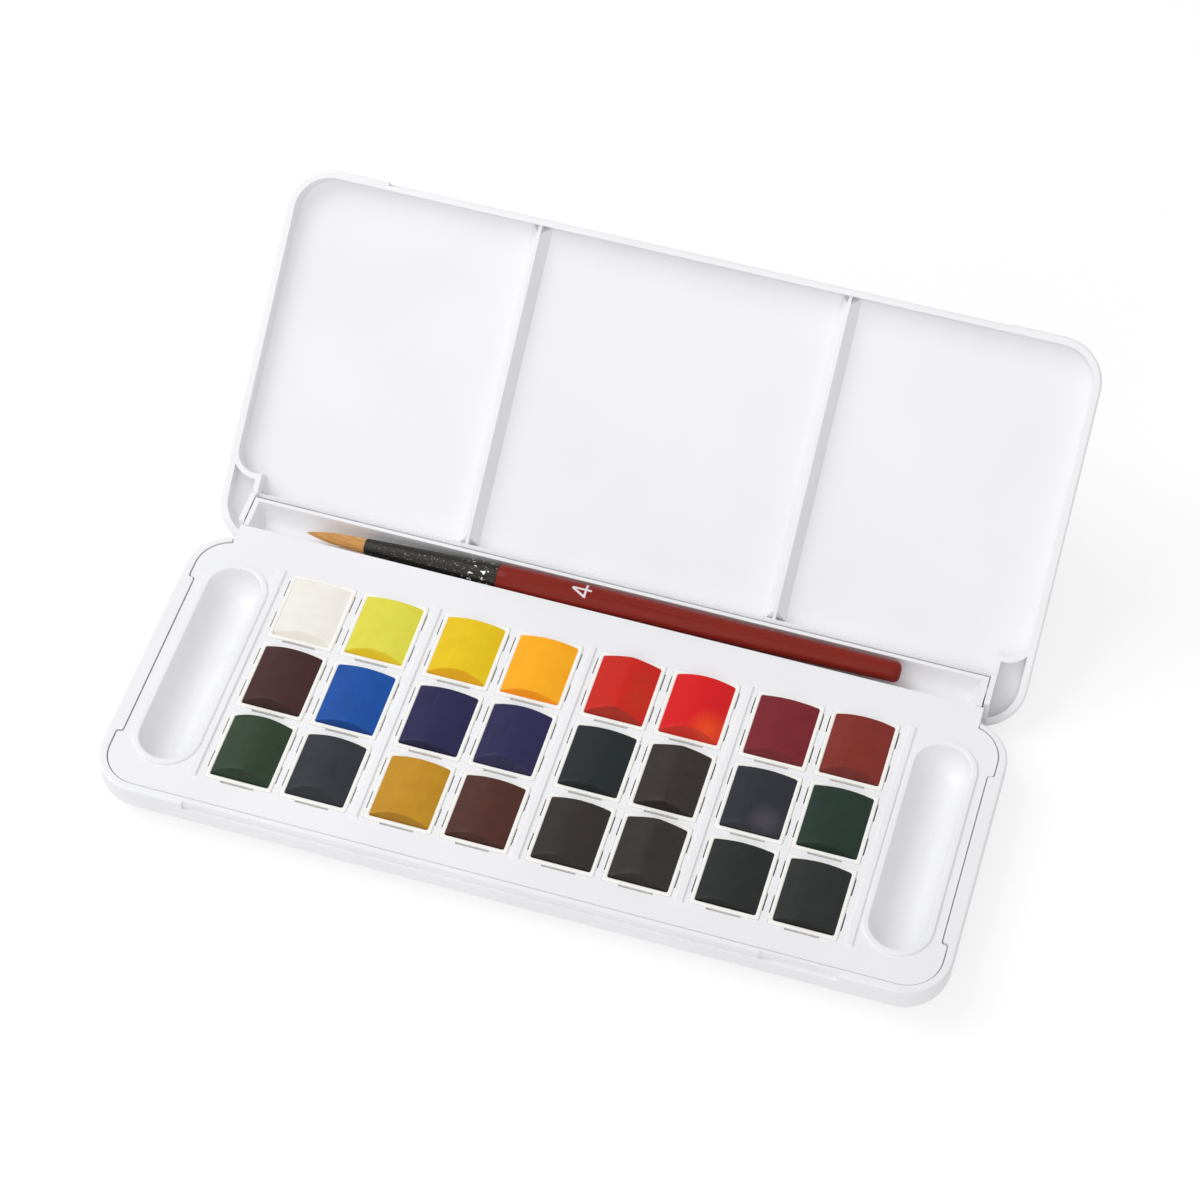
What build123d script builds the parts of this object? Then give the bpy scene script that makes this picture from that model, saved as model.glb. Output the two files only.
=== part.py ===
"""Watercolour paint set: a hinged case, a lift-out tray of half pans, a mixing lid and a brush.

The set stands open on its base. X runs along the length, Y from front to back and Z up.
The origin is the centre of the flat underside of the base. All sizes are in millimetres.
"""

import os
from math import atan2, cos, degrees, radians, sin

from build123d import *

# Half pans, whose standard size sets the scale of the whole set
pan_width = 16.0
pan_length = 19.0
pan_height = 9.0
pan_wall = 1.0
pan_floor = 1.2
pan_draft = 1.5
pan_corner_radius = 0.5
seat_clearance = 0.05

# Least flat that stays beside a rounded edge
least_flat = 0.05

# Paint cakes: the rise of each crown over its long edges, row by row from the back
cake_crowns = [
    [0.7, 1.2, 1.4, 1.3, 2.2, 1.8, 1.0, 1.5],
    [1.5, 1.3, 1.3, 1.8, 1.3, 2.3, 1.2, 1.3],
    [2.3, 1.7, 1.5, 1.4, 1.5, 2.2, 1.2, 1.4],
]
cake_gap = 0.1
cake_edge_drop = 0.15
cake_front_slope = 1.3

# Spacing of the pans
gap_in_pair = 1.92
gap_between_pairs = 4.22
gap_between_rows = 1.67

# Seats that grip the pans: a clip halfway along each side, a slit on both sides of it
clip_length = 4.7
clip_shift = 0.4
slit_length = 4.8
slit_width = 0.3
slit_depth = 5.0
finger_slot_length = 8.0
finger_slot_width = 0.5
seat_floor = 1.2
seat_wall = 1.2
seat_chamfer = 0.8
ridge_width = 2.0
ridge_height = 0.5
ridge_slope = 35.0
ridge_overrun = 0.6
outer_ridge_gap = 1.73

# Water wells at both ends of the tray
well_width = 16.3
well_length = 59.6
well_bead = 1.65
well_bead_height = 0.5
well_depth = 6.8
well_wall = 1.2
well_flat = 2.0
well_gap = 3.78
well_margin = 2.0
well_shift = -0.4

# Tray plate and its place in the base
plate_thickness = 1.2
plate_recess = 0.3
tray_gap = 0.3
tray_foot_gap = 0.2
trough_gap = 0.1
front_margin = 6.61
back_margin = 4.85
ledge_width = 1.0

# Base shell
base_floor = 1.6
corner_radius = 10.8
bottom_radius = 8.0
edge_radius = 0.6
cavity_radius = 4.0
side_rim = 3.45
corner_rim = 2.05
front_rim = 1.85
back_rim = 1.35
side_tab_length = 46.0
side_tab_shift = -0.8
side_tab_radius = 0.65

# Brush trough behind the base
neck_depth = 4.2
neck_skin = 1.2
neck_wall = 1.5
trough_radius = 3.8
trough_wall = 1.0
trough_end_wall = 1.2
trough_end_slope = 2.3
trough_inset = 9.2
trough_drop = 1.7
neck_overhang = 0.6

# Hinge: pins on the ends of the trough, ears on the lid
hinge_setback = 1.4
hinge_drop = 2.0
pin_radius = 1.5
pin_length = 1.3
pin_clearance = 0.06
ear_gap = 0.3
ear_thickness = 1.3
ear_reach = 4.3
ear_rise = 2.3
ear_drop = 1.1
ear_corner_radius = 0.75
open_angle = 39.3

# Mixing lid
lid_tail = 8.0
lid_skin = 1.5
palette_depth = 4.5
lid_rim = 1.9
lid_edge_radius = 5.4
palette_foot_radius = 1.0
lip_thickness = 0.95
lip_gap = 0.3
lip_drop = 0.85
rib_crest = 0.75
rib_foot = 4.8
rib_drop = 0.9
cheek_length = 8.8
cheek_rise = 5.7

# Finger recess along the closing edges of base and lid
recess_half_length = 76.5
recess_height = 2.2
recess_depth = 0.65
lid_recess_depth = 0.8
thumb_notch_length = 18.0
thumb_notch_depth = 0.55

# Brush
hair_length = 15.1
hair_root_radius = 1.75
hair_belly_radius = 1.55
hair_belly_place = 9.1
hair_point_radius = 0.85
hair_point_place = 3.3
hair_plug_length = 4.0
ferrule_length = 33.4
ferrule_wall = 0.3
ferrule_lip_radius = 1.95
ferrule_end_radius = 3.3
handle_length = 98.4
handle_belly_radius = 3.5
handle_belly_place = 12.0
handle_end_radius = 2.5
handle_end_rounding = 1.5
handle_tenon_length = 6.0
socket_clearance = 0.05
brush_tip_x = -76.3
brush_side_gap = 0.2
brush_rise = 0.0095
brush_drift = 0.0039

# Sizes that follow from the ones above
rows = len(cake_crowns)
columns = len(cake_crowns[0])
pairs = columns / 2
column_pitch = pan_width + gap_in_pair
pair_pitch = 2 * pan_width + gap_in_pair + gap_between_pairs
row_pitch = pan_length + gap_between_rows
block_half = (pairs * pair_pitch - gap_between_pairs) / 2
block_depth = rows * row_pitch - gap_between_rows
half_length = block_half + well_gap + well_width + well_margin + tray_gap + side_rim
front_band = front_margin + tray_gap + front_rim
back_band = back_margin + tray_gap + back_rim
base_depth = block_depth + front_band + back_band
block_y = (front_band - back_band) / 2
base_front = -base_depth / 2
base_back = base_depth / 2
tray_foot = base_floor + tray_foot_gap
pan_foot = tray_foot + seat_floor
base_height = pan_foot + pan_height
plate_top = base_height - plate_recess
plate_under = plate_top - plate_thickness
opening_half = half_length - corner_rim
opening_front = base_front + front_rim
opening_back = base_back - back_rim
well_x = block_half + well_gap + well_width / 2
well_y = block_y + well_shift
side_tab_y = block_y + side_tab_shift
trough_front = base_back + neck_depth
trough_y = trough_front + trough_radius
trough_z = base_height - trough_drop
trough_back = trough_y + trough_radius + trough_wall
trough_under = trough_z - trough_radius - trough_wall
trough_half = half_length - trough_inset
neck_half = trough_half + neck_overhang
plate_back = trough_front - trough_gap
hinge_y = trough_y + hinge_setback
hinge_z = base_height - hinge_drop
ear_inner = trough_half + ear_gap
lid_thickness = palette_depth + lid_skin
lid_far = hinge_y - base_front

seats = [
    (
        (column // 2 - (pairs - 1) / 2) * pair_pitch + (column % 2 - 0.5) * column_pitch,
        block_y + ((rows - 1) / 2 - row) * row_pitch,
    )
    for row in range(rows)
    for column in range(columns)
]

# The lid's own plane: X along the hinge, Y towards the far edge, Z out of the mixing side
lid_plane = Plane(
    origin=(
        0,
        hinge_y + hinge_drop * sin(radians(open_angle)),
        hinge_z - hinge_drop * cos(radians(open_angle)),
    ),
    x_dir=(1, 0, 0),
    z_dir=(0, -sin(radians(open_angle)), cos(radians(open_angle))),
)
lid_up = Axis(lid_plane.origin, lid_plane.z_dir)


def degrees_of_slope(inset, height):
    """Angle from upright of a side that leans in by an inset over a height."""
    return degrees(atan2(inset, height))


def tray_outline(shrink):
    """Plan of the opening in the base, made smaller all round by a clearance."""
    half = opening_half - shrink
    front = opening_front + shrink
    back = opening_back - shrink
    tab_depth = side_rim - corner_rim
    radius = corner_radius - corner_rim - shrink
    bend = min(side_tab_radius, tab_depth / 2 - least_flat)
    with BuildSketch() as outline:
        with Locations((0, (front + back) / 2)):
            RectangleRounded(2 * half, back - front, radius)
        with Locations((-half, side_tab_y), (half, side_tab_y)):
            RectangleRounded(
                2 * tab_depth,
                side_tab_length + 2 * shrink,
                bend,
                mode=Mode.SUBTRACT,
            )
        tab_end = side_tab_length / 2 + shrink
        tab_corners = [
            vertex
            for vertex in outline.vertices()
            if abs(abs(vertex.X) - half) < least_flat
            and abs(abs(vertex.Y - side_tab_y) - tab_end) < least_flat
        ]
        fillet(tab_corners, bend)
    return outline.sketch


# The room inside the base, with a rounded foot that follows the outside
with BuildPart() as cavity:
    with BuildSketch(Plane.XY.offset(base_floor)):
        with Locations((0, (opening_front + opening_back) / 2)):
            RectangleRounded(
                2 * (half_length - side_rim - ledge_width),
                opening_back - opening_front - 2 * ledge_width,
                corner_radius - corner_rim - ledge_width,
            )
    extrude(amount=plate_under - base_floor)
    fillet(
        cavity.faces().sort_by(Axis.Z)[0].edges(),
        min(cavity_radius, corner_radius - corner_rim - ledge_width - least_flat),
    )

# Groove of the trough, with ends that slope inwards to its foot
with BuildPart() as groove:
    groove_half = trough_half - trough_end_wall
    with BuildSketch(Plane.YZ.offset(-groove_half)):
        with Locations((trough_y, trough_z)):
            Circle(trough_radius)
        with Locations((trough_y, trough_z + base_height / 2)):
            Rectangle(2 * trough_radius, base_height)
    extrude(amount=2 * groove_half)
    groove_foot = trough_z - trough_radius
    with BuildSketch(Plane.XZ.offset(-trough_back)):
        with BuildLine():
            Polyline(
                (-groove_half, 2 * base_height),
                (-groove_half, base_height),
                (-groove_half + trough_end_slope, groove_foot),
                (groove_half - trough_end_slope, groove_foot),
                (groove_half, base_height),
                (groove_half, 2 * base_height),
                close=True,
            )
        make_face()
    extrude(amount=trough_back, mode=Mode.INTERSECT)

# Base shell: a shallow tray with the brush trough and the hinge pins behind it
with BuildPart() as base_shell:
    with BuildSketch():
        RectangleRounded(2 * half_length, base_depth, corner_radius)
    extrude(amount=base_height)
    fillet(
        base_shell.faces().sort_by(Axis.Z)[0].edges(),
        min(bottom_radius, base_height - edge_radius - least_flat, corner_radius - least_flat),
    )
    fillet(base_shell.faces().sort_by(Axis.Z)[-1].edges(), edge_radius)
    # Cavity below the ledge that carries the tray, then the opening above it
    add(cavity.part, mode=Mode.SUBTRACT)
    with BuildSketch(Plane.XY.offset(plate_under)):
        add(tray_outline(0))
    extrude(amount=base_height - plate_under, mode=Mode.SUBTRACT)
    # Neck that carries the trough, under the back of the tray plate
    with BuildSketch(Plane.XY.offset(plate_under)):
        with Locations((0, (opening_back - ledge_width + trough_front) / 2)):
            Rectangle(2 * (neck_half + tray_gap), trough_front - opening_back + ledge_width)
    extrude(amount=base_height - plate_under, mode=Mode.SUBTRACT)
    with BuildSketch(Plane.XY.offset(trough_under)):
        with Locations((0, (opening_back + trough_front) / 2)):
            Rectangle(2 * neck_half, trough_front - opening_back)
    extrude(amount=plate_under - trough_under)
    # Trough with a round bottom, closed at both ends
    with BuildSketch(Plane.YZ.offset(-trough_half)):
        with BuildLine():
            Polyline(
                (trough_y, trough_under),
                (trough_front - neck_wall, trough_under),
                (trough_front - neck_wall, plate_under),
                (trough_front, plate_under),
                (trough_front, base_height),
                (trough_back, base_height),
                (trough_back, trough_z),
            )
            RadiusArc((trough_back, trough_z), (trough_y, trough_under), trough_radius + trough_wall)
        make_face()
    extrude(amount=2 * trough_half)
    add(groove.part, mode=Mode.SUBTRACT)
    # The neck is hollow from the tray side
    hollow_front = opening_back - 2 * ledge_width
    hollow_back = trough_front - neck_wall
    with BuildSketch(Plane.XY.offset(trough_under + neck_skin)):
        with Locations((0, (hollow_front + hollow_back) / 2)):
            Rectangle(2 * (neck_half - neck_wall), hollow_back - hollow_front)
    extrude(amount=base_height, mode=Mode.SUBTRACT)
    # Hinge pins on the outer faces of the trough's end walls
    for side in (-1, 1):
        with BuildSketch(Plane.YZ.offset(side * (trough_half - trough_end_wall / 2))):
            with Locations((hinge_y, hinge_z)):
                Circle(pin_radius)
        extrude(amount=side * (trough_end_wall / 2 + pin_length))
    # Finger recess in the front of the rim, deeper at the right for a thumbnail
    with BuildSketch(Plane.XY.offset(base_height)):
        with Locations((0, base_front)):
            Rectangle(2 * recess_half_length, 2 * recess_depth)
        with Locations((recess_half_length - thumb_notch_length / 2, base_front)):
            Rectangle(thumb_notch_length, 2 * (recess_depth + thumb_notch_depth))
    extrude(amount=-recess_height, mode=Mode.SUBTRACT)
base_shell.part.label = "base_shell"

# Water wells: round-bottomed bowls, the shells that hold them and the beads round their edges
bowl_width = well_width - 2 * well_bead
bowl_length = well_length - 2 * well_bead
bowl_radius = (bowl_width - well_flat) / 2
well_places = [(-well_x, well_y), (well_x, well_y)]
with BuildPart() as well_bowls:
    with BuildSketch(Plane.XY.offset(plate_top + well_bead_height)):
        with Locations(well_places):
            SlotOverall(bowl_length, bowl_width, rotation=90)
    extrude(amount=-(well_depth + well_bead_height))
    fillet(well_bowls.faces().group_by(Axis.Z)[0].edges(), bowl_radius)
with BuildPart() as well_shells:
    with BuildSketch(Plane.XY.offset(plate_top)):
        with Locations(well_places):
            SlotOverall(bowl_length + 2 * well_wall, bowl_width + 2 * well_wall, rotation=90)
    extrude(amount=-(well_depth + well_wall))
    fillet(well_shells.faces().group_by(Axis.Z)[0].edges(), bowl_radius)
with BuildPart() as well_beads:
    with BuildSketch(Plane.XY.offset(plate_top)):
        with Locations(well_places):
            SlotOverall(well_length, well_width, rotation=90)
            SlotOverall(bowl_length, bowl_width, rotation=90, mode=Mode.SUBTRACT)
    extrude(amount=well_bead_height)
    fillet(well_beads.faces().group_by(Axis.Z)[-1].edges(), well_bead_height - least_flat)

# Paint tray: a plate with 24 gripping seats, low ridges and two water wells
with BuildPart() as paint_tray:
    with BuildSketch(Plane.XY.offset(plate_under)):
        add(tray_outline(tray_gap))
        with Locations((0, (block_y + plate_back) / 2)):
            Rectangle(2 * neck_half, plate_back - block_y)
    extrude(amount=plate_thickness)
    with BuildSketch(Plane.XY.offset(tray_foot)):
        with Locations((0, block_y)):
            RectangleRounded(
                2 * (block_half + seat_wall), block_depth + 2 * seat_wall, pan_corner_radius + seat_wall
            )
    extrude(amount=plate_top - tray_foot)
    chamfer(paint_tray.faces().sort_by(Axis.Z)[0].edges(), seat_chamfer)
    # Wells: the shell of the bowl under the plate and the bead round its edge
    add(well_shells.part)
    add(well_beads.part)
    # Low ridges between the pairs and outside them
    ridge_places = [(pair - pairs / 2) * pair_pitch for pair in range(1, int(pairs))]
    ridge_places += [side * (block_half + outer_ridge_gap + ridge_width / 2) for side in (-1, 1)]
    with BuildSketch(Plane.XY.offset(plate_top)):
        with Locations([(x, block_y) for x in ridge_places]):
            Rectangle(ridge_width, block_depth + 2 * ridge_overrun)
    extrude(amount=ridge_height, taper=ridge_slope)
    # Bowls of the wells
    add(well_bowls.part, mode=Mode.SUBTRACT)
    # Seats with their slits and finger slots
    with BuildSketch(Plane.XY.offset(pan_foot)):
        with Locations(seats):
            RectangleRounded(
                pan_width + 2 * seat_clearance,
                pan_length + 2 * seat_clearance,
                pan_corner_radius + seat_clearance,
            )
    extrude(amount=base_height, mode=Mode.SUBTRACT)
    slit_shift = (clip_length + slit_length) / 2
    with BuildSketch(Plane.XY.offset(plate_top)):
        with Locations([(x, y + clip_shift + way * slit_shift) for x, y in seats for way in (-1, 1)]):
            Rectangle(pan_width + 2 * slit_width, slit_length)
        with Locations([(x, y - pan_length / 2) for x, y in seats]):
            Rectangle(finger_slot_length, 2 * finger_slot_width)
    extrude(amount=-slit_depth, mode=Mode.SUBTRACT)
paint_tray.part.label = "paint_tray"

# Outside of the mixing lid, drawn in its own plane, which leans back from the hinge
lid_depth = lid_far + lid_tail
floor_plane = lid_plane.offset(-palette_depth)
with BuildPart() as lid_body:
    with BuildSketch(lid_plane):
        with Locations((0, (lid_far - lid_tail) / 2)):
            RectangleRounded(2 * half_length, lid_depth, corner_radius)
    extrude(amount=-lid_thickness)
    fillet(
        lid_body.faces().sort_by(lid_up)[0].edges(),
        min(lid_edge_radius, lid_thickness - edge_radius - least_flat, corner_radius - least_flat),
    )
    fillet(lid_body.faces().sort_by(lid_up)[-1].edges(), edge_radius)

# Cheeks at both ends of the hinge bay, which sweep out into the side walls
with BuildPart() as cheeks:
    cheek_x = ear_inner + ear_thickness / 2
    side_wall_x = half_length - lid_rim + ear_thickness / 2
    for side in (-1, 1):
        with BuildSketch(floor_plane):
            with BuildLine():
                Line(
                    (side * cheek_x, lid_rim / 2 - lid_tail),
                    (side * cheek_x, cheek_length + ear_thickness / 2),
                )
            trace(line_width=ear_thickness)
            with BuildLine():
                TangentArc(
                    (side * side_wall_x, cheek_length + cheek_rise),
                    (side * cheek_x, cheek_length),
                    tangent=(0, -1),
                )
            trace(line_width=ear_thickness)
        extrude(amount=palette_depth)
    add(lid_body.part, mode=Mode.INTERSECT)

# Mixing lid: the palette with its ribs and lip, and the ears that hang on the hinge pins
with BuildPart() as mixing_lid:
    add(lid_body.part)
    with BuildSketch(lid_plane):
        with Locations((0, (lid_far - lid_tail) / 2)):
            RectangleRounded(2 * (half_length - lid_rim), lid_depth - 2 * lid_rim, corner_radius - lid_rim)
    extrude(amount=-palette_depth, mode=Mode.SUBTRACT)
    fillet(mixing_lid.faces().filter_by(lid_up).sort_by(lid_up)[1].edges(), palette_foot_radius)
    # Ribs that part the mixing areas: a core and its tapered sides
    lip_front = hinge_y - trough_front - lip_gap
    rib_height = palette_depth - rib_drop
    rib_run = lid_far - lid_rim - lip_front
    rib_middle = lip_front + rib_run / 2
    rib_x = pair_pitch
    with BuildSketch(floor_plane):
        with Locations((-rib_x, rib_middle), (rib_x, rib_middle)):
            Rectangle(rib_foot, rib_run)
    extrude(amount=rib_height, taper=degrees_of_slope((rib_foot - rib_crest) / 2, rib_height))
    with BuildSketch(floor_plane.offset(palette_foot_radius / 2)):
        with Locations((-rib_x, rib_middle), (rib_x, rib_middle)):
            Rectangle(rib_crest, rib_run + lip_thickness)
    extrude(amount=rib_height - palette_foot_radius / 2)
    # Lip along the hinge side of the mixing areas
    with BuildSketch(floor_plane):
        with Locations((0, lip_front - lip_thickness / 2)):
            Rectangle(2 * ear_inner + ear_thickness, lip_thickness)
    extrude(amount=palette_depth - lip_drop)
    add(cheeks.part)
    # Ears on the cheeks, level with the rim of the base while the lid stands open
    tail_foot = lid_plane.from_local_coords((0, lid_rim / 2 - lid_tail, -ear_drop))
    cheek_root = lid_plane.from_local_coords((0, ear_reach + ear_gap, -ear_drop))
    for side in (-1, 1):
        with BuildSketch(Plane.YZ.offset(side * ear_inner)):
            with BuildLine():
                FilletPolyline(
                    (tail_foot.Y, tail_foot.Z),
                    (hinge_y - ear_reach, hinge_z - ear_reach),
                    (hinge_y - ear_reach, hinge_z + ear_rise),
                    (hinge_y + ear_reach, hinge_z + ear_rise),
                    (cheek_root.Y, cheek_root.Z),
                    close=True,
                    radius=ear_corner_radius,
                )
            make_face()
        extrude(amount=side * ear_thickness)
        with BuildSketch(Plane.YZ.offset(side * ear_inner)):
            with Locations((hinge_y, hinge_z)):
                Circle(pin_radius + pin_clearance)
        extrude(amount=side * ear_thickness, mode=Mode.SUBTRACT)
    # Step along the outside of the closing edge, over the finger recess of the base
    with BuildSketch(lid_plane):
        with Locations((0, lid_far)):
            Rectangle(2 * recess_half_length, 2 * lid_recess_depth)
    extrude(amount=-recess_height, mode=Mode.SUBTRACT)
mixing_lid.part.label = "mixing_lid"

# Half pans and the cakes of paint in them, one pair for each seat
pan_parts = []
for number, (seat_x, seat_y) in enumerate(seats):
    row, column = divmod(number, columns)
    place = f"r{row + 1}_c{column + 1}"
    with BuildPart() as pan:
        with BuildSketch(Plane.XY.offset(pan_foot + pan_height)):
            with Locations((seat_x, seat_y)):
                RectangleRounded(pan_width, pan_length, pan_corner_radius)
        extrude(amount=-pan_height, taper=pan_draft)
        with BuildSketch(Plane.XY.offset(pan_foot + pan_floor)):
            with Locations((seat_x, seat_y)):
                Rectangle(pan_width - 2 * pan_wall, pan_length - 2 * pan_wall)
        extrude(amount=pan_height, mode=Mode.SUBTRACT)
    pan.part.label = f"pan_{place}"

    cake_half = pan_width / 2 - pan_wall - cake_gap
    cake_length = pan_length - 2 * pan_wall - 2 * cake_gap
    cake_foot = pan_foot + pan_floor
    cake_edge = base_height - cake_edge_drop
    crown = cake_edge + cake_crowns[row][column]
    with BuildPart() as cake:
        with BuildSketch(Plane.XZ.offset(-(seat_y + cake_length / 2))):
            with BuildLine():
                Polyline(
                    (seat_x - cake_half, cake_edge),
                    (seat_x - cake_half, cake_foot),
                    (seat_x + cake_half, cake_foot),
                    (seat_x + cake_half, cake_edge),
                )
                ThreePointArc(
                    (seat_x - cake_half, cake_edge), (seat_x, crown), (seat_x + cake_half, cake_edge)
                )
            make_face()
        extrude(amount=cake_length)
        front_face = cake.faces().sort_by(Axis.Y)[0]
        chamfer(front_face.edges().sort_by(Axis.Z)[-1], cake_front_slope)
    cake.part.label = f"paint_{place}"
    pan_parts += [pan.part, cake.part]

# Brush, drawn along its own axis, which rises a little towards the end of the handle
ferrule_start = hair_length
handle_start = ferrule_start + ferrule_length
handle_end = handle_start + handle_length
belly_run = handle_start + handle_belly_place
belly_y = trough_y + trough_radius - brush_side_gap - handle_belly_radius
belly_z = trough_z - trough_radius + ear_gap + handle_belly_radius
brush_line = Vector(1, brush_drift, brush_rise)
brush_plane = Plane(
    origin=(brush_tip_x, belly_y - brush_drift * belly_run, belly_z - brush_rise * belly_run),
    x_dir=brush_line,
    z_dir=brush_line.cross(Vector(0, 0, 1)),
)
brush_axis = Axis(brush_plane.origin, brush_plane.x_dir)
plug_end = ferrule_start + hair_plug_length
tenon_start = handle_start - handle_tenon_length
socket_radius = hair_root_radius + socket_clearance
tenon_radius = ferrule_end_radius - ferrule_wall - socket_clearance

with BuildPart() as brush_hair:
    with BuildSketch(brush_plane):
        with BuildLine():
            Polyline((0, 0), (plug_end, 0), (plug_end, hair_root_radius), (ferrule_start, hair_root_radius))
            Spline(
                (ferrule_start, hair_root_radius),
                (hair_belly_place, hair_belly_radius),
                (hair_point_place, hair_point_radius),
                (0, 0),
            )
        make_face()
    revolve(axis=brush_axis)
brush_hair.part.label = "brush_hair"

with BuildPart() as brush_ferrule:
    with BuildSketch(brush_plane):
        with BuildLine():
            Polyline(
                (ferrule_start, socket_radius),
                (ferrule_start, ferrule_lip_radius),
                (handle_start, ferrule_end_radius),
                (handle_start, tenon_radius + socket_clearance),
                (tenon_start - socket_clearance, tenon_radius + socket_clearance),
                (plug_end + socket_clearance, socket_radius),
                close=True,
            )
        make_face()
    revolve(axis=brush_axis)
brush_ferrule.part.label = "brush_ferrule"

with BuildPart() as brush_handle:
    taper_end = handle_end - handle_end_rounding
    taper_run = taper_end - belly_run
    taper_fall = handle_end_radius - handle_belly_radius
    with BuildSketch(brush_plane):
        with BuildLine():
            Polyline(
                (handle_end, 0),
                (tenon_start, 0),
                (tenon_start, tenon_radius),
                (handle_start, tenon_radius),
                (handle_start, ferrule_end_radius),
            )
            Spline(
                (handle_start, ferrule_end_radius),
                (belly_run, handle_belly_radius),
                tangents=[(taper_run, handle_belly_radius), (taper_run, taper_fall)],
            )
            Line((belly_run, handle_belly_radius), (taper_end, handle_end_radius))
            RadiusArc(
                (taper_end, handle_end_radius),
                (handle_end, handle_end_radius - handle_end_rounding),
                handle_end_rounding,
            )
            Line((handle_end, handle_end_radius - handle_end_rounding), (handle_end, 0))
        make_face()
    revolve(axis=brush_axis)
brush_handle.part.label = "brush_handle"

# One file for each piece
os.makedirs("parts", exist_ok=True)
pieces = [base_shell.part, paint_tray.part, mixing_lid.part]
pieces += [brush_hair.part, brush_ferrule.part, brush_handle.part]
pieces += pan_parts
for piece in pieces:
    export_step(piece, f"parts/{piece.label}.step")
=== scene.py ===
"""A watercolour paint set in a small studio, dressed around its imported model.

The white case, its paint tray and its mixing lid keep their modelled shape and get their plastic.
The half pans, the cakes of paint and the brush are modelled here, each in the place of its solid.
All places are in metres, in the frame of the model; sizes in the classes are in millimetres.
"""

import logging
import math
from dataclasses import dataclass
from enum import Enum

import bmesh
import bpy
from mathutils import Matrix, Vector, noise


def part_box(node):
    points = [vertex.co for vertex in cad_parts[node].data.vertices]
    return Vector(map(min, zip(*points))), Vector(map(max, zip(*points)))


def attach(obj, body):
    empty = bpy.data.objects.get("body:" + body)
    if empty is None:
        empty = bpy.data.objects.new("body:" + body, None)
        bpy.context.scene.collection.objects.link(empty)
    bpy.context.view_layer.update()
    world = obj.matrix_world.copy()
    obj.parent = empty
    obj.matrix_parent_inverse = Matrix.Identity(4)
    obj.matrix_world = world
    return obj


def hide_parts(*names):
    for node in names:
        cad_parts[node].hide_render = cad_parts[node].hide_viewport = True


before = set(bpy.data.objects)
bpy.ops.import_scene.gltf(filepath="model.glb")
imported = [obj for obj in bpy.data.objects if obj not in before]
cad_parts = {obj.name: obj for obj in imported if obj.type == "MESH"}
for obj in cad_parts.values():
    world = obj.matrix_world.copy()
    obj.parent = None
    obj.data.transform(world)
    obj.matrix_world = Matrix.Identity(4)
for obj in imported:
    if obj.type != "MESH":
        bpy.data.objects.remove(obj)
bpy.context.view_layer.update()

log = logging.getLogger("paint_set")

MM = 0.001
# Sockets of a colour Mix node, which share their names with its other kinds
MIX_SHARE, MIX_UNDER, MIX_OVER, MIX_RESULT = 0, 6, 7, 2


def linear(colour: str) -> tuple[float, float, float, float]:
    """Turns an sRGB hex colour to linear light.

    Args:
        colour: The colour as "#RRGGBB".

    Returns:
        Red, green, blue and an alpha of 1.
    """
    channels = [int(colour[start : start + 2], 16) / 255 for start in (1, 3, 5)]
    light = (c / 12.92 if c <= 0.04045 else ((c + 0.055) / 1.055) ** 2.4 for c in channels)
    return (*light, 1.0)


def add_node(
    tree: bpy.types.NodeTree, kind: str, settings: dict | None = None, links: dict | None = None
) -> bpy.types.Node:
    """Adds one node with its settings and links.

    Args:
        tree: The node tree that takes it.
        kind: The node's type, without its "ShaderNode" start.
        settings: Values by the name of a property, or by the name or number of an input.
        links: Output sockets by the name or number of the input that they feed.

    Returns:
        The new node.
    """
    made = tree.nodes.new("ShaderNode" + kind)
    for name, value in (settings or {}).items():
        if isinstance(name, str) and name in made.bl_rna.properties:
            setattr(made, name, value)
    for name, value in (settings or {}).items():
        if not (isinstance(name, str) and name in made.bl_rna.properties):
            made.inputs[name].default_value = value
    for name, source in (links or {}).items():
        tree.links.new(source, made.inputs[name])
    return made


def new_material(name: str) -> tuple[bpy.types.Material, bpy.types.NodeTree, bpy.types.Node]:
    """Makes an empty node material.

    Args:
        name: The material's name.

    Returns:
        The material, its node tree and its output node.
    """
    made = bpy.data.materials.new(name)
    made.use_nodes = True
    made.node_tree.nodes.clear()
    return made, made.node_tree, add_node(made.node_tree, "OutputMaterial")


def span(low: float, high: float, first: float, last: float) -> dict[str, float]:
    """Gives the settings that map one range of values to another, clamped.

    Args:
        low: The value that gives the first end.
        high: The value that gives the last end.
        first: The new range's first end.
        last: Its last end.

    Returns:
        The settings of a Map Range node.
    """
    return {"From Min": low, "From Max": high, "To Min": first, "To Max": last}


def lay_colour(
    tree: bpy.types.NodeTree,
    value: bpy.types.NodeSocket,
    reach: tuple[float, float, float, float],
    under: str | bpy.types.NodeSocket,
    over: str,
) -> bpy.types.NodeSocket:
    """Lays one colour over another by the value of a pattern.

    Args:
        tree: The node tree.
        value: The pattern's socket.
        reach: Its values where the change starts and ends, and the upper colour's share at both.
        under: The lower colour, a hex value or a socket.
        over: The upper colour, a hex value.

    Returns:
        The mixed colour's socket.
    """
    share = add_node(tree, "MapRange", span(*reach), {"Value": value})
    settings = {"data_type": "RGBA", MIX_OVER: linear(over)}
    links = {MIX_SHARE: share.outputs["Result"]}
    if isinstance(under, str):
        settings[MIX_UNDER] = linear(under)
    else:
        links[MIX_UNDER] = under
    return add_node(tree, "Mix", settings, links).outputs[MIX_RESULT]


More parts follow.
